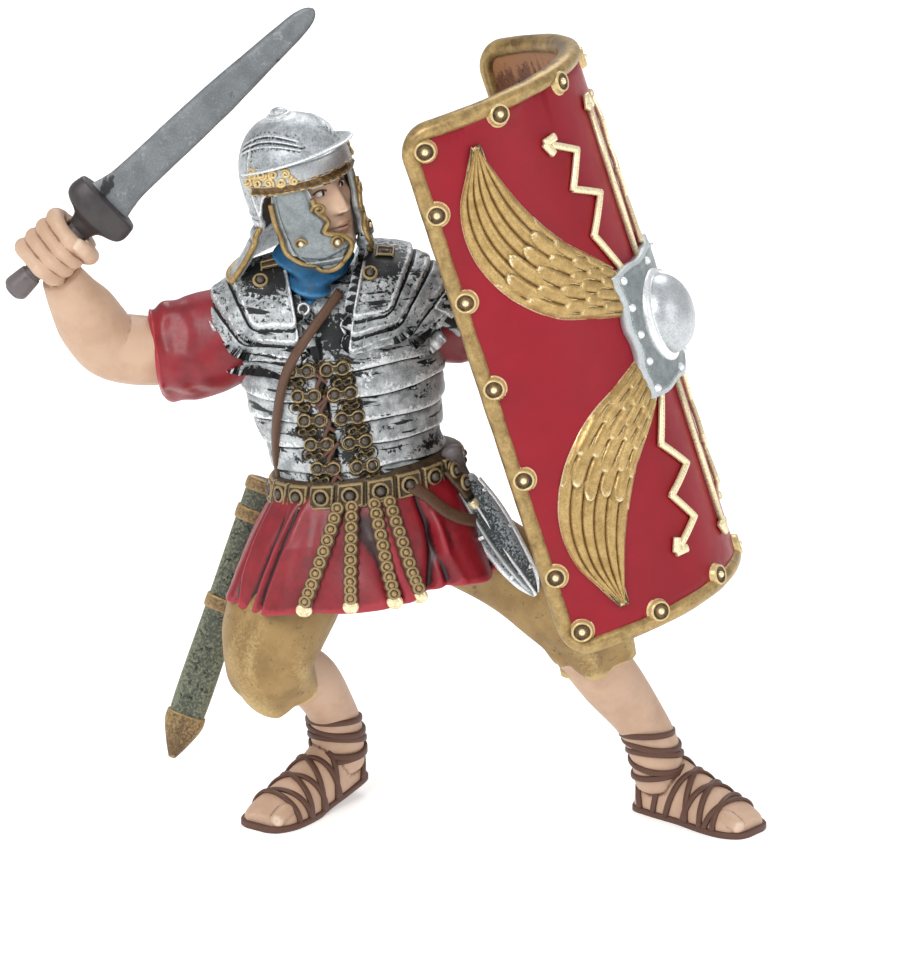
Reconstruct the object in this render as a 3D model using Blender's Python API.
"""Roman legionary figurine: a moulded figure, with the sword, scabbard and shield that are fixed to it.

Sizes are in millimetres and become metres when a mesh is made. The figure faces -Y and stands on Z = 0.
"""

import math

import bmesh
import bpy
from mathutils import Matrix, Vector

MM = 0.001

# The figure. Its pose and carving are drawn at a height of 86.5 mm and keep their proportions.
FIGURE_HEIGHT = 86.5
DRAWN_HEIGHT = 86.5
BODY = FIGURE_HEIGHT / DRAWN_HEIGHT

# Edges shorter than this are merged away where shapes are joined
SLIVER = 0.001

# Gap left between two pieces that are moulded apart and then fixed together
CLEARANCE = 0.3

# Sword
BLADE_LENGTH = 31.8
BLADE_WIDTH = 5.6
BLADE_THICKNESS = 1.4
GUARD_WIDTH = 8.4
GUARD_DEPTH = 4.4
GUARD_THICKNESS = 3.3
GRIP_RADIUS = 1.15
POMMEL_RADIUS = 1.5
POMMEL_LENGTH = 3.6
FIST_SPAN = 7.0
GUARD_GAP = 1.4
NECK_RADIUS = 1.4

# Scabbard
SCABBARD_LENGTH = 35.2
SCABBARD_WIDTH = 4.2
SCABBARD_THICKNESS = 2.2
CHAPE_LENGTH = 5.6
RING_HEIGHT = 1.6
RING_STEP = 0.25

# Shield
SHIELD_HEIGHT = 62.4
SHIELD_RADIUS = 18.8
SHIELD_HALF_ANGLE = 80.0
SHIELD_THICKNESS = 1.5
SHIELD_CORNER = 3.0
RIM_RADIUS = 1.05
LOBE_RADIUS = 1.45
LOBE_INSET = 1.3
LOBES_UP_THE_SIDE = 7
LOBES_ACROSS = 6
RELIEF = 0.7
BOSS_PLATE = 15.0
BOSS_PLATE_THICKNESS = 0.5
BOSS_RADIUS = 4.6
BOSS_HEIGHT = 3.5
HANDLE_RADIUS = 1.2
HANDLE_STANDOFF = 6.6
HANDLE_LENGTH = 17.0

# Triangles that each piece is thinned to
FIGURE_TRIANGLES = 6100
SWORD_TRIANGLES = 460
SCABBARD_TRIANGLES = 260
SHIELD_TRIANGLES = 3060

SKIN = (0.72, 0.50, 0.36)
RED = (0.42, 0.02, 0.05)
STEEL = (0.42, 0.45, 0.46)
OLIVE = (0.20, 0.24, 0.20)


# Making meshes

def at(x, y, z):
    """A point of the figure, which grows with the figure's height."""
    return Vector((x, y, z)) * BODY


def new_object(name, bm):
    """An object whose closed mesh points outwards, still in millimetres."""
    bmesh.ops.remove_doubles(bm, verts=bm.verts, dist=1e-4)
    bmesh.ops.recalc_face_normals(bm, faces=bm.faces)
    mesh = bpy.data.meshes.new(name)
    bm.to_mesh(mesh)
    bm.free()
    obj = bpy.data.objects.new(name, mesh)
    bpy.context.scene.collection.objects.link(obj)
    return obj


def skin_of(name, rings, loop=False):
    """Closed surface through rings of points. The ends are fans, or meet where it is a loop."""
    bm = bmesh.new()
    rows = [[bm.verts.new(p) for p in ring] for ring in rings]
    sides = len(rings[0])
    pairs = list(zip(rows, rows[1:] + ([rows[0]] if loop else [])))
    for low, high in pairs:
        for i in range(sides):
            j = (i + 1) % sides
            bm.faces.new((low[i], low[j], high[j], high[i]))
    if not loop:
        for row in (rows[0], rows[-1]):
            middle = bm.verts.new(sum((v.co for v in row), Vector()) / sides)
            for i in range(sides):
                bm.faces.new((row[i], row[(i + 1) % sides], middle))
    return new_object(name, bm)


def oval(centre, across, deep, half_width, half_depth, sides, swell=None, square=2.0):
    """A ring of points round centre. swell(angle) adds to its radius, and square above 2 fills its corners."""
    points = []
    for i in range(sides):
        angle = math.tau * i / sides
        c, s = math.cos(angle), math.sin(angle)
        more = swell(angle) if swell else 0.0
        u = math.copysign(abs(c) ** (2 / square), c) * (half_width + more)
        v = math.copysign(abs(s) ** (2 / square), s) * (half_depth + more)
        points.append(centre + across * u + deep * v)
    return points


def stack(name, stations, sides, tilt=0.0, swell=None, square=2.0):
    """Ovals (x, y, z, half width, half depth) one above another. swell(share, angle) carves them."""
    across = Vector((math.cos(math.radians(tilt)), 0, math.sin(math.radians(tilt))))
    deep = Vector((0, 1, 0))
    rings = []
    for k, (x, y, z, width, depth) in enumerate(stations):
        share = k / (len(stations) - 1)
        carve = (lambda a, s=share: swell(s, a) * BODY) if swell else None
        rings.append(oval(at(x, y, z), across, deep, width * BODY, depth * BODY, sides, carve, square))
    return skin_of(name, rings)


def through(points, spans):
    """Points on a smooth curve through the given rows of numbers, spans to each stretch."""
    rows = [points[0], *points, points[-1]]
    found = []
    for i in range(1, len(rows) - 2):
        for k in range(spans):
            t = k / spans
            found.append([
                0.5 * (2 * b + (c - a) * t + (2 * a - 5 * b + 4 * c - d) * t ** 2 + (3 * b - a - 3 * c + d) * t ** 3)
                for a, b, c, d in zip(rows[i - 1], rows[i], rows[i + 1], rows[i + 2])
            ])
    return found + [list(points[-1])]


def limb(name, stations, sides, spans=2, across=(0, 1, 0), swell=None, ends=(0.6, 0.6), scale=None):
    """A tube along stations (x, y, z, half width, half depth), with ends domed by a share of their radius."""
    scale = BODY if scale is None else scale
    rows = [[n * scale for n in row] for row in through(stations, spans)]
    centres = [Vector(row[:3]) for row in rows]
    rings = []
    last = len(rows) - 1
    for k, row in enumerate(rows):
        along = (centres[min(k + 1, last)] - centres[max(k - 1, 0)]).normalized()
        deep = along.cross(Vector(across)).normalized()
        wide = deep.cross(along).normalized()
        carve = (lambda a, s=k / last: swell(s, a) * scale) if swell else None
        width, depth = row[3], row[4]
        ring = oval(centres[k], wide, deep, width, depth, sides, carve)
        if k in (0, last):
            sign, share = (-1, ends[0]) if k == 0 else (1, ends[1])
            domed = [
                [c + along * sign * share * width * math.sin(turn) for c in
                 (centres[k] + (p - centres[k]) * math.cos(turn) for p in ring)]
                for turn in (math.radians(50),)
            ] if share else []
            rings += domed[::-1] + [ring] if k == 0 else [ring] + domed
        else:
            rings.append(ring)
    return skin_of(name, rings)


def plate(name, outer, inner, loop=False):
    """A closed plate between an outer and an inner grid of points."""
    bm = bmesh.new()
    rows, columns = len(outer), len(outer[0])
    front = [[bm.verts.new(p) for p in row] for row in outer]
    back = [[bm.verts.new(p) for p in row] for row in inner]
    steps = [(j, (j + 1) % columns) for j in range(columns if loop else columns - 1)]
    for i in range(rows - 1):
        for j, k in steps:
            bm.faces.new((front[i][j], front[i][k], front[i + 1][k], front[i + 1][j]))
            bm.faces.new((back[i][j], back[i + 1][j], back[i + 1][k], back[i][k]))
    for i in (0, rows - 1):
        for j, k in steps:
            bm.faces.new((front[i][j], back[i][j], back[i][k], front[i][k]))
    if not loop:
        for j in (0, columns - 1):
            for i in range(rows - 1):
                bm.faces.new((front[i][j], front[i + 1][j], back[i + 1][j], back[i][j]))
    return new_object(name, bm)


def slab(name, grid, thickness):
    """A plate whose outer face is the grid of points and whose inner face lies a thickness behind it."""
    rows, columns = len(grid), len(grid[0])

    def normal(i, j):
        down = grid[min(i + 1, rows - 1)][j] - grid[max(i - 1, 0)][j]
        along = grid[i][min(j + 1, columns - 1)] - grid[i][max(j - 1, 0)]
        return down.cross(along).normalized()

    return plate(name, grid, [[grid[i][j] - normal(i, j) * thickness for j in range(columns)] for i in range(rows)])


def ball(name, centre, radii, sides=12, rings=8):
    """An ellipsoid with its poles along Z."""
    bm = bmesh.new()
    bmesh.ops.create_uvsphere(bm, u_segments=sides, v_segments=rings, radius=1.0)
    bmesh.ops.scale(bm, vec=radii, verts=bm.verts)
    bmesh.ops.translate(bm, vec=centre, verts=bm.verts)
    return new_object(name, bm)


def rod(name, start, end, radius, sides=12, far_radius=None):
    """A straight rod or cone between two points."""
    start, end = Vector(start), Vector(end)
    along = (end - start).normalized()
    wide = along.orthogonal().normalized()
    deep = along.cross(wide)
    radii = (radius, radius if far_radius is None else far_radius)
    return skin_of(name, [oval(p, wide, deep, r, r, sides) for p, r in zip((start, end), radii)])


def placed(objects, matrix):
    """Moves the meshes of objects modelled in a frame of their own into the figure's frame."""
    for obj in objects:
        obj.data.transform(matrix)
    return objects


def baked(obj):
    """Bakes an object's modifiers into its mesh."""
    bpy.context.view_layer.update()
    mesh = bpy.data.meshes.new_from_object(obj.evaluated_get(bpy.context.evaluated_depsgraph_get()))
    obj.modifiers.clear()
    obj.data = mesh
    return obj


def joined(shapes):
    """One object from overlapping shapes, which are used up."""
    target, others = shapes[0], shapes[1:]
    if not others:
        return target
    group = bpy.data.collections.new("operands")
    for other in others:
        group.objects.link(other)
    modifier = target.modifiers.new("Union", "BOOLEAN")
    modifier.operation = "UNION"
    modifier.operand_type = "COLLECTION"
    modifier.collection = group
    baked(target)
    for other in others:
        bpy.data.objects.remove(other)
    bpy.data.collections.remove(group)
    bm = bmesh.new()
    bm.from_mesh(target.data)
    bmesh.ops.remove_doubles(bm, verts=bm.verts, dist=SLIVER)
    bmesh.ops.dissolve_degenerate(bm, dist=SLIVER, edges=bm.edges)
    bmesh.ops.triangulate(bm, faces=bm.faces[:])
    bm.to_mesh(target.data)
    bm.free()
    return target


def lightened(obj, triangles):
    """Thins an object's mesh to about a number of triangles, where it is flattest."""
    count = sum(len(face.vertices) - 2 for face in obj.data.polygons)
    if count > triangles:
        obj.modifiers.new("Decimate", "DECIMATE").ratio = triangles / count
        baked(obj)
    return obj


def one_solid(name, shapes, triangles, colour, roughness, metallic=0.0):
    """One named piece in metres, from overlapping shapes, with its material."""
    solid = lightened(joined(shapes), triangles)
    solid.data.transform(Matrix.Scale(MM, 4))
    solid.name = name
    solid.data.name = name
    material = bpy.data.materials.new(name)
    material.use_nodes = True
    shader = material.node_tree.nodes["Principled BSDF"]
    shader.inputs["Base Color"].default_value = (*colour, 1.0)
    shader.inputs["Roughness"].default_value = roughness
    shader.inputs["Metallic"].default_value = metallic
    solid.data.materials.clear()
    solid.data.materials.append(material)
    solid.data.shade_smooth()
    solid.data.set_sharp_from_angle(angle=math.radians(35))
    return solid


# Frames of the head, the two hands, the shield and the scabbard

def turned(point, roll=0.0, pitch=0.0, spin=0.0):
    """A frame at point: spun about its own Z, then pitched about X, then rolled about Y, in degrees."""
    return (
        Matrix.Translation(point)
        @ Matrix.Rotation(math.radians(roll), 4, "Y")
        @ Matrix.Rotation(math.radians(pitch), 4, "X")
        @ Matrix.Rotation(math.radians(spin), 4, "Z")
    )


HEAD = turned(at(-16.9, 9.2, 76.3), roll=-14, pitch=2, spin=45)
SWORD_HAND = turned(at(-44.3, 3.0, 71.1), roll=46.4)
SHIELD = turned(at(22.7, 5.0, 62.8), roll=-17.7, pitch=-1.6, spin=-14.5)
SHIELD_HAND = SHIELD @ turned(Vector((-HANDLE_STANDOFF, 0, 0)), pitch=90) @ Matrix.Rotation(math.pi, 4, "Z")
SCABBARD_TOP = at(-21.6, 21.2, 38.4)
SCABBARD_TIP_WAY = (at(-32.9, 18.8, 5.4) - SCABBARD_TOP).normalized()


# Torso, belt and tunic

TORSO = [
    (-9.8, 11.5, 38.5, 10.2, 7.8), (-9.8, 11.5, 42.5, 10.0, 7.6), (-11.1, 11.3, 46.3, 9.8, 7.5),
    (-12.0, 11.0, 51.2, 10.9, 8.0), (-12.7, 10.6, 56.1, 11.6, 8.4), (-13.4, 10.3, 60.3, 11.6, 8.0),
    (-14.2, 10.0, 64.0, 9.0, 6.6), (-14.6, 9.8, 66.6, 5.4, 4.8),
]
TORSO_TILT = 6.0
BELT_TILT = 9.0
HOOPS = 5
HOOP_FROM, HOOP_TO = 44.9, 59.9
HOOP_STEP = 0.42


def torso_oval(z):
    """The torso's station at a height, straight between the drawn ones."""
    for low, high in zip(TORSO, TORSO[1:]):
        if low[2] <= z <= high[2]:
            t = (z - low[2]) / (high[2] - low[2])
            return [a + (b - a) * t for a, b in zip(low, high)]
    return list(TORSO[-1] if z > TORSO[-1][2] else TORSO[0])


def on_torso(x, z, proud=0.0):
    """The point on the torso's front at a place across and a height."""
    cx, cy, cz, width, depth = torso_oval(z - (x - torso_oval(z)[0]) * math.tan(math.radians(TORSO_TILT)))
    across = max(-0.98, min(0.98, (x - cx) / width))
    return at(x, cy - (depth + proud) * math.sqrt(1 - across ** 2), z)


def cuirass():
    """The torso, stepped where each iron hoop ends over the next."""
    stations = [torso_oval(38.5)]
    pitch = (HOOP_TO - HOOP_FROM) / HOOPS
    for k in range(HOOPS):
        z = HOOP_FROM + k * pitch
        for height, step in ((z, HOOP_STEP), (z + pitch - 0.15, 0.0)):
            x, y, z0, width, depth = torso_oval(height)
            stations.append((x, y, z0, width + step, depth + step))
    stations += [torso_oval(z) for z in (60.3, 62.4, 64.0, 65.6, 66.6)]
    return stack("cuirass", stations, 24, TORSO_TILT)


def belt():
    """The belt over the top of the tunic, with square plates round its front."""
    stations = [(-9.8, 11.5, 40.6, 11.0, 8.5), (-9.8, 11.5, 41.0, 11.5, 9.0), (-9.9, 11.5, 44.0, 10.9, 8.5),
                (-9.9, 11.5, 44.4, 10.2, 7.8)]
    return stack("belt", stations, 24, BELT_TILT)


SKIRT = [
    (-9.8, 11.5, 43.4, 9.6, 7.2), (-9.8, 11.5, 41.0, 11.2, 8.6), (-9.7, 11.4, 37.4, 13.2, 10.4),
    (-9.7, 11.3, 33.6, 15.0, 11.6), (-9.6, 11.2, 30.6, 16.2, 12.4), (-9.6, 11.3, 29.8, 15.2, 11.4),
]
SKIRT_TILT = 8.0
SKIRT_SQUARE = 2.7
FOLDS = 9


def fold(share, angle):
    """Tunic folds, which deepen towards the hem."""
    depth = 0.85 * min(1.0, share * 1.25) ** 1.5
    return depth * (0.7 * math.cos(FOLDS * angle + 0.6) + 0.3 * math.cos(5 * angle + 2.0))


def on_skirt(angle, share, proud=0.0):
    """A point on the tunic's skirt: angle in degrees from the figure's left, share down from the belt."""
    turn = math.radians(angle)
    k = min(share, 0.999) * (len(SKIRT) - 2)
    low, high = SKIRT[int(k)], SKIRT[int(k) + 1]
    x, y, z, width, depth = [a + (b - a) * (k - int(k)) for a, b in zip(low, high)]
    out = fold(k / (len(SKIRT) - 1), turn) + proud
    tilt = math.radians(SKIRT_TILT)
    side, back = (math.copysign(abs(v) ** (2 / SKIRT_SQUARE), v) for v in (math.cos(turn), math.sin(turn)))
    side *= width + out
    return at(x + side * math.cos(tilt), y + back * (depth + out), z + side * math.sin(tilt))


def skirt():
    return stack("skirt", SKIRT, 45, SKIRT_TILT, fold, SKIRT_SQUARE)


APRON = [(-104, -119), (-95, -101), (-88, -86), (-81, -73)]
STRAP_HALF_ANGLE = 2.9
STRAP_STEP = 0.5


def apron_straps():
    """The studded straps that hang from the belt over the tunic."""
    straps = []
    for k, (top, foot) in enumerate(APRON):
        grid = []
        for row in range(9):
            share = 0.10 + 0.82 * row / 8
            middle = top + (foot - top) * row / 8
            half = STRAP_HALF_ANGLE * (0.8 if row % 2 else 1.0)
            grid.append([on_skirt(middle + side * half, share, STRAP_STEP) for side in (-1, 0, 1)])
        straps.append(slab(f"strap_{k}", grid, 1.6 * BODY))
    return straps


def baldric():
    """The shoulder belt that carries the scabbard."""
    path = through([(-12.3, 64.6), (-15.0, 59.5), (-18.2, 52.5), (-19.6, 47.0), (-19.9, 42.5)], 3)
    grid = [[on_torso(x + side * 0.75, z, 1.0) for side in (-1, 1)] for x, z in path]
    return slab("baldric", grid, 2.0 * BODY)


def collar_plate(side):
    """The broad breast plate beside the neck."""
    grid = []
    for row in range(4):
        z = 64.2 - row * 2.1
        grid.append([on_torso(-14.0 + side * (2.6 + col * 2.0), z, 0.9 - 0.1 * col) for col in range(4)])
    return slab("collar_plate", grid if side > 0 else [r[::-1] for r in grid], 1.8 * BODY)


# Shoulder guards

GUARD_CENTRE = Vector((-14.3, 10.0, 64.0))
GUARD_STRIPS = [(3.4, 9.9, 80, 0.3), (9.4, 13.3, 95, 0.1), (12.8, 15.8, 104, -0.2), (15.3, 17.6, 74, -0.4)]


def on_shoulder(side, outward, turn, proud=0.0):
    """A point on the saddle over one shoulder: how far out from the neck, and degrees over from the front."""
    w = math.radians(turn)
    tilt = math.radians(TORSO_TILT)
    fall = (1 - math.cos(w)) / (1 - math.cos(math.radians(100)))
    out = outward * (1 - 0.30 * fall)
    top = 4.8 - 0.0014 * outward ** 3 + proud
    depth = 9.0 - 0.018 * outward ** 2 + proud
    height = 8.6 - 0.02 * outward ** 2
    return at(
        GUARD_CENTRE.x + side * out * math.cos(tilt),
        GUARD_CENTRE.y + depth * math.sin(w),
        GUARD_CENTRE.z + side * out * math.sin(tilt) + top + height * (math.cos(w) - 1),
    )


def shoulder_guard(side):
    """Iron strips laid over one shoulder, each over the edge of the next one out."""
    strips = []
    for k, (inner, outer, reach, proud) in enumerate(GUARD_STRIPS):
        grid = []
        for row in range(9):
            turn = reach - 2 * reach * row / 8
            ends = (inner, (inner + outer) / 2, outer) if side > 0 else (outer, (inner + outer) / 2, inner)
            grid.append([on_shoulder(side, u, turn, proud) for u in ends])
        strips.append(slab(f"shoulder_{side}_{k}", grid, (2.4 - 0.45 * k) * BODY))
    core = [(GUARD_CENTRE.x + side * 4, 10, 64.3 + side * 0.4, 5.6, 4.6),
            (GUARD_CENTRE.x + side * 9, 10, 62.4 + side * 0.9, 5.8, 5.0),
            (GUARD_CENTRE.x + side * 12.6, 10.2, 60.8 + side * 1.1, 4.5, 4.2)]
    strips.append(limb(f"shoulder_core_{side}", core, 12, across=(0, 1, 0)))
    return strips


# Limbs

def legs():
    cuff = lambda s, a: 0.35 * math.cos(5 * a) * s + 0.25 * math.sin(7 * a + 4 * s)
    return [
        limb("breeches_right", [(-15.6, 12.2, 35.5, 6.0, 5.8), (-18.6, 9.8, 29.0, 6.9, 6.4),
                                (-20.6, 7.8, 24.0, 6.4, 6.0), (-20.8, 8.3, 20.4, 5.9, 5.4),
                                (-19.4, 10.6, 17.2, 4.5, 4.3)], 16, 2, swell=cuff, ends=(0.3, 0.25)),
        limb("shin_right", [(-18.6, 11.0, 19.0, 3.3, 3.4), (-16.4, 13.6, 16.6, 3.2, 3.4),
                            (-14.4, 16.6, 12.4, 2.9, 3.0), (-13.6, 18.6, 8.6, 3.1, 3.2),
                            (-13.3, 19.6, 4.4, 3.0, 3.2)], 12, 1),
        limb("breeches_left", [(-4.0, 11.5, 36.8, 5.8, 5.8), (2.6, 11.2, 33.4, 5.1, 5.2),
                               (8.5, 10.8, 29.8, 4.9, 5.0), (13.4, 10.4, 25.8, 5.0, 5.0),
                               (16.0, 10.3, 22.6, 4.8, 4.8), (17.0, 10.6, 20.0, 4.2, 4.1)], 16, 2, swell=cuff,
             ends=(0.3, 0.25)),
        limb("shin_left", [(15.0, 10.2, 21.8, 3.5, 3.6), (18.4, 11.4, 17.2, 3.6, 3.7),
                           (21.8, 12.6, 12.2, 3.0, 3.1), (23.6, 13.2, 8.2, 3.1, 3.1),
                           (24.3, 13.8, 4.2, 3.0, 3.1)], 12, 1),
    ]


FOOT_STATIONS = [(0.2, 1.7, 3.4), (1.0, 2.5, 4.8), (4.6, 3.0, 7.2), (8.6, 3.1, 6.2), (13.0, 3.6, 4.6),
                 (16.4, 3.6, 3.5), (18.6, 2.7, 2.6), (19.3, 1.6, 1.9)]
SOLE_HEIGHT = 0.8
BALL_OF_FOOT = 11.0


def foot(name, heel, heading, lift, length):
    """A sandalled foot on its sole. heading is in degrees, and lift raises the heel about the ball of the foot."""
    ahead = Vector((math.cos(math.radians(heading)), math.sin(math.radians(heading)), 0))
    side = Vector((-ahead.y, ahead.x, 0))
    share = length / FOOT_STATIONS[-1][0]

    def ring(s, width, top, bottom, sides):
        rise = max(0.0, BALL_OF_FOOT - s) / BALL_OF_FOOT * lift
        centre = Vector((*heel, 0)) + ahead * s * share
        points = []
        for i in range(sides):
            angle = math.tau * i / sides
            height = bottom + (top - bottom) * max(0.0, math.sin(angle)) + rise
            points.append((centre + side * width * math.cos(angle) + Vector((0, 0, height))) * BODY)
        return points

    upper = [ring(s, w, top, 0.5, 14) for s, w, top in FOOT_STATIONS]
    sole = [slab_row(ring, s, w + 0.35) for s, w, _ in FOOT_STATIONS]
    return [skin_of(f"{name}_upper", upper), skin_of(f"{name}_sole", sole)]


def slab_row(ring, s, width):
    """A flat rectangular section of the sole."""
    low = ring(s, width, 0.0, 0.0, 4)
    left, right = low[2], low[0]
    up = Vector((0, 0, SOLE_HEIGHT * BODY))
    return [right, right + up, left + up, left]


def right_arm():
    drape = lambda s, a: 0.35 * math.cos(5 * a + 1) * s
    return [
        limb("sleeve_right", [(-22.5, 10.4, 60.4, 5.2, 5.0), (-27.4, 10.3, 58.2, 5.7, 6.0),
                              (-31.0, 10.0, 57.4, 5.6, 5.7), (-33.3, 9.8, 57.2, 4.9, 4.9)],
             14, 2, swell=drape, ends=(0.4, 0.0)),
        limb("arm_right", [(-30.0, 9.9, 57.8, 3.7, 3.7), (-35.6, 9.6, 57.5, 4.1, 4.0),
                           (-38.8, 9.0, 58.3, 4.0, 3.9), (-40.8, 7.6, 61.0, 3.95, 3.9),
                           (-42.7, 5.6, 64.8, 3.1, 3.1), (-43.9, 4.2, 67.6, 2.3, 2.4)], 12, 1,
             ends=(0.6, 0.0)),
    ]


def left_arm():
    hand = SHIELD_HAND.translation / BODY
    elbow = Vector((5.0, 17.0, 58.4))
    wrist = hand + (elbow - hand).normalized() * 3.2
    return [
        limb("sleeve_left", [(-5.4, 11.2, 61.4, 4.7, 4.6), (-1.8, 12.6, 60.3, 4.6, 4.6),
                             (1.4, 14.4, 59.4, 4.3, 4.4), (3.6, 15.8, 58.9, 3.9, 4.0)], 12, 1, ends=(0.4, 0.0)),
        limb("arm_left", [(0.5, 13.6, 59.8, 3.0, 3.0), (*elbow, 3.2, 3.2), (8.6, 14.0, 60.0, 3.1, 3.1),
                          (*wrist, 2.2, 2.2)], 12, 1, ends=(0.6, 0.0)),
    ]


FINGER_RADIUS = 0.95
FINGERS = 4
PALM = [(-40, 2.4), (-10, 2.9), (25, 3.4), (60, 3.6), (95, 3.5), (130, 3.2), (165, 2.9)]


def fist(name, frame, grip_radius):
    """A closed hand round a grip along its frame's Z. The fingers wrap its front, and knuckles are towards -X."""
    space = grip_radius + CLEARANCE
    reach = space + FINGER_RADIUS * BODY
    pitch = (FIST_SPAN - 2 * FINGER_RADIUS * BODY) / (FINGERS - 1)
    shapes = []
    for k in range(FINGERS):
        z = (k - (FINGERS - 1) / 2) * pitch
        stations = [(reach * r * math.cos(math.radians(a)), reach * r * math.sin(math.radians(a)), z,
                     FINGER_RADIUS * BODY, FINGER_RADIUS * BODY)
                    for a, r in ((150, 1.2), (195, 1.16), (245, 1.04), (295, 1.01), (340, 1.01))]
        shapes.append(limb(f"{name}_finger_{k}", stations, 6, 1, (0, 0, 1), ends=(0.5, 0.5), scale=1.0))
    outer, inner = [], []
    for share, size in ((0.96, 0.9), (0.3, 1.0), (-0.4, 1.0), (-0.98, 0.86)):
        z = share * FIST_SPAN / 2
        rays = [(Vector((math.cos(math.radians(a)), math.sin(math.radians(a)), 0)), r) for a, r in PALM]
        outer.append([ray * r * size * BODY + Vector((0, 0, z)) for ray, r in rays])
        inner.append([ray * (space + 0.02) + Vector((0, 0, z)) for ray, r in rays])
    shapes.append(plate(f"{name}_palm", outer, inner))
    thumb = [(2.5, 1.8, 1.2, 1.1, 1.1), (3.1, 0.0, 2.2, 1.05, 1.05), (2.5, -2.0, 2.6, 0.95, 0.95),
             (0.7, -3.1, 2.7, 0.8, 0.8)]
    shapes.append(limb(f"{name}_thumb", thumb, 6, 1, across=(0, 0, 1)))
    return placed(shapes, frame)


# Head and helmet, in the frame of the head: the face looks along -Y, and Z is up

NAPE_FLARE = 4.6
FACE = [
    (0, -3.3, -7.4, 1.6, 1.4), (0, -2.3, -6.6, 2.8, 3.1), (0, -1.1, -4.8, 3.6, 4.4), (0, -0.5, -2.6, 4.1, 5.1),
    (0, -0.2, -0.2, 4.4, 5.5), (0, 0.0, 2.0, 4.5, 5.5), (0, 0.4, 4.2, 4.2, 5.0),
]


def face_oval(z):
    for low, high in zip(FACE, FACE[1:]):
        if low[2] <= z <= high[2]:
            t = (z - low[2]) / (high[2] - low[2])
            return [a + (b - a) * t for a, b in zip(low, high)]
    return list(FACE[0] if z < FACE[0][2] else FACE[-1])


def round_face(turn, z, proud=0.0):
    """A point round the head: turn in degrees from the front, towards the figure's left."""
    _, y, _, width, depth = face_oval(z)
    a = math.radians(turn)
    return Vector((math.sin(a) * (width + proud), y - math.cos(a) * (depth + proud), z)) * BODY


def cheek_guard(side):
    """A hinged cheek plate, cut away at the eye and the mouth."""
    rows = [(2.4, 40, 84), (0.6, 38, 86), (-0.9, 33, 88), (-2.4, 31, 90), (-3.6, 36, 91), (-4.8, 20, 91),
            (-6.2, 15, 88), (-7.6, 22, 80), (-8.4, 38, 68)]
    grid = []
    for z, front, back in rows:
        turns = [front + (back - front) * k / 4 for k in range(5)]
        if side < 0:
            turns = [-t for t in reversed(turns)]
        grid.append([round_face(t, z, 1.0) for t in turns])
    return slab("cheek_guard", grid, 1.4 * BODY)


def head():
    def station(x, y, z, width, depth):
        return (x, y, z, width, depth)

    skull = skin_of("skull", [oval(Vector((x, y, z)) * BODY, Vector((1, 0, 0)), Vector((0, 1, 0)), w * BODY,
                                   d * BODY, 16) for x, y, z, w, d in FACE])
    bowl_stations = [(0.4, 5.9, 6.7), (3.2, 5.9, 6.7), (5.4, 5.4, 6.1), (7.2, 4.4, 5.0), (8.5, 2.9, 3.4),
                     (9.2, 1.2, 1.5)]
    bowl = skin_of("bowl", [oval(Vector((0, 0.4, z)) * BODY, Vector((1, 0, 0)), Vector((0, 1, 0)), w * BODY,
                                 d * BODY, 20) for z, w, d in bowl_stations])
    nape = ball("nape", Vector((0, 2.0, -0.4)) * BODY, Vector((5.7, 5.1, 5.6)) * BODY, 14, 8)
    band = slab("brow_band", [[(Vector((math.sin(a) * 6.2, 0.4 - math.cos(a) * 7.0, z))) * BODY for a in
                               (math.radians(-100 + 20 * k) for k in range(11))] for z in (3.6, 1.9)], 1.6 * BODY)
    peak = limb("peak", [(math.sin(a) * 5.9, 0.2 - math.cos(a) * 7.2, 4.5 + 0.9 * math.cos(a), 0.45, 1.0) for a in
                         (math.radians(-96 + 24 * k) for k in range(9))], 6, 1, across=(0, 0, 1))
    guard_rows = []
    for k in range(5):
        out = k / 4
        flare = out ** 1.6
        guard_rows.append([Vector((math.sin(a) * (5.2 + NAPE_FLARE * flare),
                                   1.6 - math.cos(a) * (4.8 + 0.9 * NAPE_FLARE * flare), -1.6 - 6.0 * out)) * BODY
                           for a in (math.radians(180 + (80 - 14 * out) * (n / 5 - 1)) for n in range(11))])
    neck_guard = slab("neck_guard", guard_rows, 1.1 * BODY)
    knob = rod("knob", Vector((0, 0.8, 8.6)) * BODY, Vector((0, 0.8, 10.0)) * BODY, 1.0 * BODY, 10)
    nose = limb("nose", [(0, -5.2, 1.4, 0.6, 0.5), (0, -5.7, -0.4, 0.75, 0.7), (0, -6.2, -1.8, 1.05, 0.9)], 8, 1,
                across=(1, 0, 0))
    lips = ball("lips", Vector((0, -4.9, -4.1)) * BODY, Vector((1.5, 0.7, 0.6)) * BODY, 10, 6)
    chin = ball("chin", Vector((0, -4.2, -6.2)) * BODY, Vector((1.7, 1.2, 1.2)) * BODY, 10, 6)
    shapes = [skull, bowl, nape, band, peak, neck_guard, knob, nose, lips, chin, cheek_guard(-1), cheek_guard(1)]
    return placed(shapes, HEAD)


def scarf():
    fold_of = lambda s, a: 0.3 * math.sin(3 * a + 9 * s)
    return stack("scarf", [(-14.3, 9.6, 61.8, 4.6, 7.6), (-14.4, 9.6, 63.6, 5.8, 7.4), (-14.8, 9.6, 66.0, 5.9, 5.9),
                           (-15.1, 9.6, 68.2, 5.2, 5.2), (-15.4, 9.5, 70.4, 4.2, 4.4)], 16, 4.0, fold_of)


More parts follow.
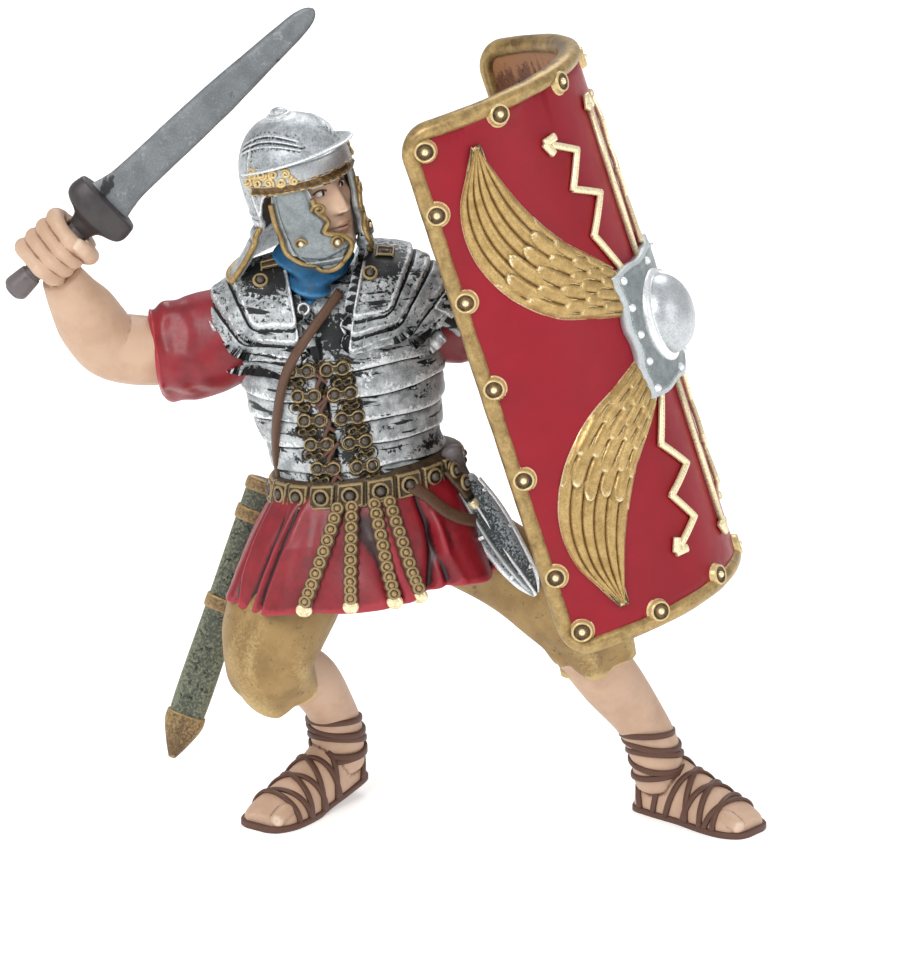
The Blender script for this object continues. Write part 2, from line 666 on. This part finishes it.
def dagger():
    """The dagger in its sheath on the left hip, moulded on the belt."""
    return [
        limb("dagger_sheath", [(1.4, 7.4, 42.4, 1.6, 1.1), (3.6, 6.4, 39.0, 2.1, 1.2), (6.0, 5.6, 35.2, 1.9, 1.2),
                               (8.4, 5.6, 31.6, 1.1, 0.9), (9.4, 6.0, 29.8, 0.5, 0.5)], 10, 1, across=(1, 0, 0.7)),
        limb("dagger_grip", [(1.6, 7.2, 42.2, 1.1, 0.9), (0.8, 7.6, 44.2, 0.9, 0.8), (0.0, 7.8, 46.0, 1.3, 0.9)],
             8, 1, across=(1, 0, 0.7)),
    ]


# Sword, scabbard and shield

def sword():
    """The short sword along the sword hand's Z, its flat towards the viewer."""
    grip_end = -(FIST_SPAN / 2 + POMMEL_LENGTH)
    guard_low = FIST_SPAN / 2 + GUARD_GAP
    guard_high = guard_low + GUARD_THICKNESS
    tip = guard_high + BLADE_LENGTH
    grip = rod("grip", (0, 0, grip_end + 0.4), (0, 0, guard_low + 0.6), GRIP_RADIUS, 14)
    pommel = skin_of("pommel", [oval(Vector((0, 0, z)), Vector((1, 0, 0)), Vector((0, 1, 0)), r, r, 14) for z, r in (
        (grip_end, POMMEL_RADIUS * 0.7), (grip_end + 0.5, POMMEL_RADIUS), (grip_end + 1.6, POMMEL_RADIUS * 0.95),
        (grip_end + POMMEL_LENGTH - CLEARANCE, GRIP_RADIUS))])
    guard = skin_of("guard", [oval(Vector((0, 0, z)), Vector((1, 0, 0)), Vector((0, 1, 0)), GUARD_WIDTH / 2 * w,
                                   GUARD_DEPTH / 2 * d, 16, square=2.6) for z, w, d in (
        (guard_low - 0.2, 0.5, 0.66), (guard_low + 0.2 * GUARD_THICKNESS, 0.88, 0.95),
        (guard_low + 0.5 * GUARD_THICKNESS, 1.0, 1.0), (guard_high - 0.3, 0.97, 0.95), (guard_high, 0.9, 0.85))])
    neck = rod("neck", (0, 0, FIST_SPAN / 2 + CLEARANCE), (0, 0, guard_low + 0.3), NECK_RADIUS, 12, NECK_RADIUS * 1.25)
    profile = [(-0.4, 0.98), (0.0, 1.0), (0.05, 0.86), (0.12, 0.77), (0.36, 0.75), (0.55, 0.71), (0.73, 0.6),
               (0.9, 0.49), (0.957, 0.39), (0.985, 0.25), (1.0, 0.1)]
    rings = []
    for share, width in profile:
        z = guard_high + share * BLADE_LENGTH if share > 0 else guard_high - 0.4
        half = BLADE_WIDTH / 2 * width
        thick = BLADE_THICKNESS / 2 * (1 if share < 0.9 else 0.75)
        rings.append([Vector((u * half, v * thick, z)) for u, v in (
            (1, 0.15), (0.55, 0.85), (0, 1), (-0.55, 0.85), (-1, 0.15), (-1, -0.15), (-0.55, -0.85), (0, -1),
            (0.55, -0.85), (1, -0.15))])
    blade = skin_of("blade", rings)
    return one_solid("sword", placed([guard, neck, grip, pommel, blade], SWORD_HAND), SWORD_TRIANGLES, STEEL, 0.4, 0.6)


def scabbard():
    """The scabbard, with two rings and a pointed chape."""
    along = SCABBARD_TIP_WAY
    wide = along.cross(Vector((0.12, 1, 0))).normalized()
    deep = along.cross(wide).normalized()
    chape_from = SCABBARD_LENGTH - CHAPE_LENGTH
    marks = [(0.0, 0.0, 1.0)]
    for share in (0.1, 0.42):
        s = share * SCABBARD_LENGTH
        marks += [(s, 0.0, 1.0), (s + 0.1, RING_STEP, 1.0), (s + RING_HEIGHT, RING_STEP, 1.0),
                  (s + RING_HEIGHT + 0.1, 0.0, 1.0)]
    marks += [(chape_from, 0.0, 1.0), (chape_from + 0.1, RING_STEP, 1.0), (chape_from + 1.6, RING_STEP, 0.96),
              (SCABBARD_LENGTH - 1.6, RING_STEP, 0.5), (SCABBARD_LENGTH, 0.0, 0.18)]
    return skin_of("scabbard", [
        oval(SCABBARD_TOP + along * s, wide, deep, SCABBARD_WIDTH / 2 * share + step,
             SCABBARD_THICKNESS / 2 * (0.4 + 0.6 * share) + step, 12, square=2.3) for s, step, share in marks
    ])


def on_shield(s, t, proud=0.0):
    """A point on the shield's outer face, in its own frame: s along the curve, t up its height."""
    a = s / SHIELD_RADIUS
    radius = SHIELD_RADIUS + proud
    return Vector((radius * math.cos(a) - SHIELD_RADIUS, radius * math.sin(a), t))


HALF_ARC = SHIELD_RADIUS * math.radians(SHIELD_HALF_ANGLE)
HALF_HEIGHT = SHIELD_HEIGHT / 2


def edge_height(s):
    """How high the shield's outline stands at s, with its rounded corners."""
    from_edge = HALF_ARC - abs(s)
    if from_edge >= SHIELD_CORNER:
        return HALF_HEIGHT
    return HALF_HEIGHT - SHIELD_CORNER + math.sqrt(max(0.0, SHIELD_CORNER ** 2 - (SHIELD_CORNER - from_edge) ** 2))


def shield_outline(inset, per_corner=4):
    """(s, t) round the shield, inset from its edge, with an arc at each corner."""
    radius = max(SHIELD_CORNER - inset, 0.3)
    points = []
    for turn, sign_s, sign_t in ((0, 1, 1), (90, -1, 1), (180, -1, -1), (270, 1, -1)):
        for k in range(per_corner + 1):
            a = math.radians(turn + 90 * k / per_corner)
            points.append((sign_s * (HALF_ARC - inset - radius) + radius * math.cos(a),
                           sign_t * (HALF_HEIGHT - inset - radius) + radius * math.sin(a)))
        if turn in (0, 180):
            reach = HALF_ARC - inset - radius
            for k in range(1, 12):
                s = reach * (1 - 2 * k / 12) * (1 if turn == 0 else -1)
                points.append((s, sign_t * (HALF_HEIGHT - inset)))
    return points


def rim():
    """The rolled edge of the shield."""
    outline = shield_outline(RIM_RADIUS * 0.35)
    middle = -SHIELD_THICKNESS / 2
    count = len(outline)
    rings = []
    for k, (s, t) in enumerate(outline):
        here = on_shield(s, t, middle)
        along = (on_shield(*outline[(k + 1) % count], middle) - on_shield(*outline[k - 1], middle)).normalized()
        out = Vector((math.cos(s / SHIELD_RADIUS), math.sin(s / SHIELD_RADIUS), 0))
        side = along.cross(out).normalized()
        rings.append(oval(here, out, side, RIM_RADIUS * 1.25, RIM_RADIUS, 6))
    return skin_of("rim", rings, loop=True)


def lobe_places():
    """(s, t) of the riveted tabs inside the rim, the same distance apart along each side."""
    s_edge = HALF_ARC - LOBE_INSET
    t_edge = HALF_HEIGHT - LOBE_INSET - 1.2
    corner = 1.1
    places = []
    for k in range(LOBES_UP_THE_SIDE):
        t = t_edge * (2 * k / (LOBES_UP_THE_SIDE - 1) - 1)
        inward = corner if k in (0, LOBES_UP_THE_SIDE - 1) else 0.0
        places += [(side * (s_edge - inward), t) for side in (-1, 1)]
    for k in range(1, LOBES_ACROSS - 1):
        s = s_edge * (2 * k / (LOBES_ACROSS - 1) - 1)
        places += [(s, side * (HALF_HEIGHT - LOBE_INSET)) for side in (-1, 1)]
    return places


def wing(flip_s, flip_t):
    """One raised wing beside the boss, a row of long feathers with a shorter row at its root."""
    outer = through([(-8.0, 3.4), (-15.4, 5.6), (-20.4, 10.4), (-22.9, 16.0), (-22.4, 21.6), (-19.9, 26.2)], 1)
    inner = through([(-7.2, 9.0), (-11.0, 11.6), (-14.4, 15.2), (-16.6, 19.0), (-17.4, 22.4), (-18.2, 26.2)], 1)
    grid = []
    for (s0, t0), (s1, t1) in zip(outer, inner):
        row = []
        for k in range(3):
            share = k / 2
            lift = RELIEF * (1.0 if k % 2 else 0.6)
            row.append(on_shield(flip_s * (s0 + (s1 - s0) * share), flip_t * (t0 + (t1 - t0) * share), lift))
        grid.append(row if flip_s * flip_t < 0 else row[::-1])
    return slab("wing", grid, RELIEF * 2)


def bolt(points, half_width):
    """A raised strip along straight stretches on the shield, ending in an arrow head."""
    shapes = []
    for k, (a, b) in enumerate(zip(points, points[1:])):
        way = Vector((b[0] - a[0], b[1] - a[1]))
        length = way.length
        way.normalize()
        side = Vector((-way.y, way.x))
        widths = ((0.0, 1.0), (1.0, 1.0)) if k else ((-1.6 / length, 0.2), (0.0, 2.6), (0.12, 1.0), (1.0, 1.0))
        grid = []
        for share, wide in widths:
            reach = share * length + (0.35 if share == 1.0 else 0.0)
            mid = Vector(a) + way * reach
            grid.append([on_shield(*(mid + side * half_width * wide * sign), RELIEF) for sign in (-1, 1)])
        shapes.append(slab("bolt", grid, RELIEF * 2))
    return shapes


def shield():
    """The curved shield with its rim, riveted tabs, wings, bolts, boss and handle."""
    columns = 25
    grid = []
    for k in (1, -1):
        row = []
        for j in range(columns):
            s = HALF_ARC * math.sin(math.pi / 2 * (2 * j / (columns - 1) - 1)) * 0.999
            row.append(on_shield(s, edge_height(s) * k))
        grid.append(row)
    shell = slab("shell", grid, SHIELD_THICKNESS)
    shapes = [shell, rim()]
    for s, t in lobe_places():
        out = on_shield(s, t, 1.0) - on_shield(s, t)
        shapes.append(rod("lobe", on_shield(s, t) - out * 0.7, on_shield(s, t) + out * RELIEF, LOBE_RADIUS, 8))
    shapes += [wing(a, b) for a in (-1, 1) for b in (-1, 1)]
    zigzag = [(9.6, 24.6), (5.9, 22.2), (8.6, 18.5), (4.2, 16.4), (7.8, 12.6), (4.9, 7.6)]
    for a in (-1, 1):
        for b in (-1, 1):
            shapes += bolt([(a * s, b * t) for s, t in zigzag], 0.42)
    for b in (-1, 1):
        shapes += bolt([(0, b * 25.8), (0, b * 7.0)], 0.36)
    half = BOSS_PLATE / 2
    plate = [[on_shield(half * (2 * j / 8 - 1), half * (1 - 2 * k / 2), BOSS_PLATE_THICKNESS + RELIEF)
              for j in range(9)] for k in range(3)]
    shapes.append(slab("plate", plate, BOSS_PLATE_THICKNESS + RELIEF + SHIELD_THICKNESS / 2))
    profile = [(0.0, 1.0), (0.16, 1.0), (0.45, 0.9), (0.75, 0.68), (0.93, 0.4), (1.0, 0.12)]
    base = BOSS_PLATE_THICKNESS + RELIEF - 0.8
    shapes.append(skin_of("dome", [oval(Vector((base + h * (BOSS_HEIGHT + 0.8), 0, 0)), Vector((0, 1, 0)),
                                        Vector((0, 0, 1)), BOSS_RADIUS * r, BOSS_RADIUS * r, 16)
                                   for h, r in profile]))
    back = -SHIELD_THICKNESS
    for sign in (-1, 1):
        foot_s = sign * HANDLE_LENGTH / 2
        inner = on_shield(foot_s, 0, back + 0.6)
        reach = Vector((-HANDLE_STANDOFF, inner.y * 0.8, 0))
        shapes.append(rod("handle_leg", inner, reach, HANDLE_RADIUS, 10))
        shapes.append(ball("handle_elbow", reach, (HANDLE_RADIUS,) * 3, 10, 8))
    ends = [on_shield(sign * HANDLE_LENGTH / 2, 0, back + 0.6).y * 0.8 for sign in (-1, 1)]
    shapes.append(rod("handle", (-HANDLE_STANDOFF, ends[0], 0), (-HANDLE_STANDOFF, ends[1], 0), HANDLE_RADIUS, 10))
    return one_solid("shield", placed(shapes, SHIELD), SHIELD_TRIANGLES, RED, 0.35)


def legionary():
    """The figure with all that is moulded on it."""
    shapes = [cuirass(), belt(), skirt(), baldric(), scarf(), collar_plate(-1), collar_plate(1)]
    shapes += apron_straps() + shoulder_guard(-1) + shoulder_guard(1) + legs() + head() + dagger()
    shapes += foot("foot_right", (-11.6, 22.6), 233, 1.8, 18.6) + foot("foot_left", (22.4, 16.8), -39, 0.0, 16.6)
    shapes += right_arm() + fist("sword_fist", SWORD_HAND, GRIP_RADIUS)
    shapes += left_arm() + fist("shield_fist", SHIELD_HAND, HANDLE_RADIUS)
    return one_solid("legionary", shapes, FIGURE_TRIANGLES, SKIN, 0.55)


def stand_on_origin(pieces):
    """Puts the middle of the whole figurine's underside at the origin, on an empty that carries the pieces."""
    corners = [v.co for piece in pieces for v in piece.data.vertices]
    low = [min(c[k] for c in corners) for k in range(3)]
    high = [max(c[k] for c in corners) for k in range(3)]
    stand = bpy.data.objects.new("stand", None)
    bpy.context.scene.collection.objects.link(stand)
    stand.location = (-(low[0] + high[0]) / 2, -(low[1] + high[1]) / 2, -low[2])
    for piece in pieces:
        piece.parent = stand
    print("stands at", [round(n / MM, 3) for n in stand.location])


def main():
    for obj in list(bpy.data.objects):
        bpy.data.objects.remove(obj)
    stand_on_origin([legionary(), sword(), one_solid("scabbard", [scabbard()], SCABBARD_TRIANGLES, OLIVE, 0.5), shield()])


main()
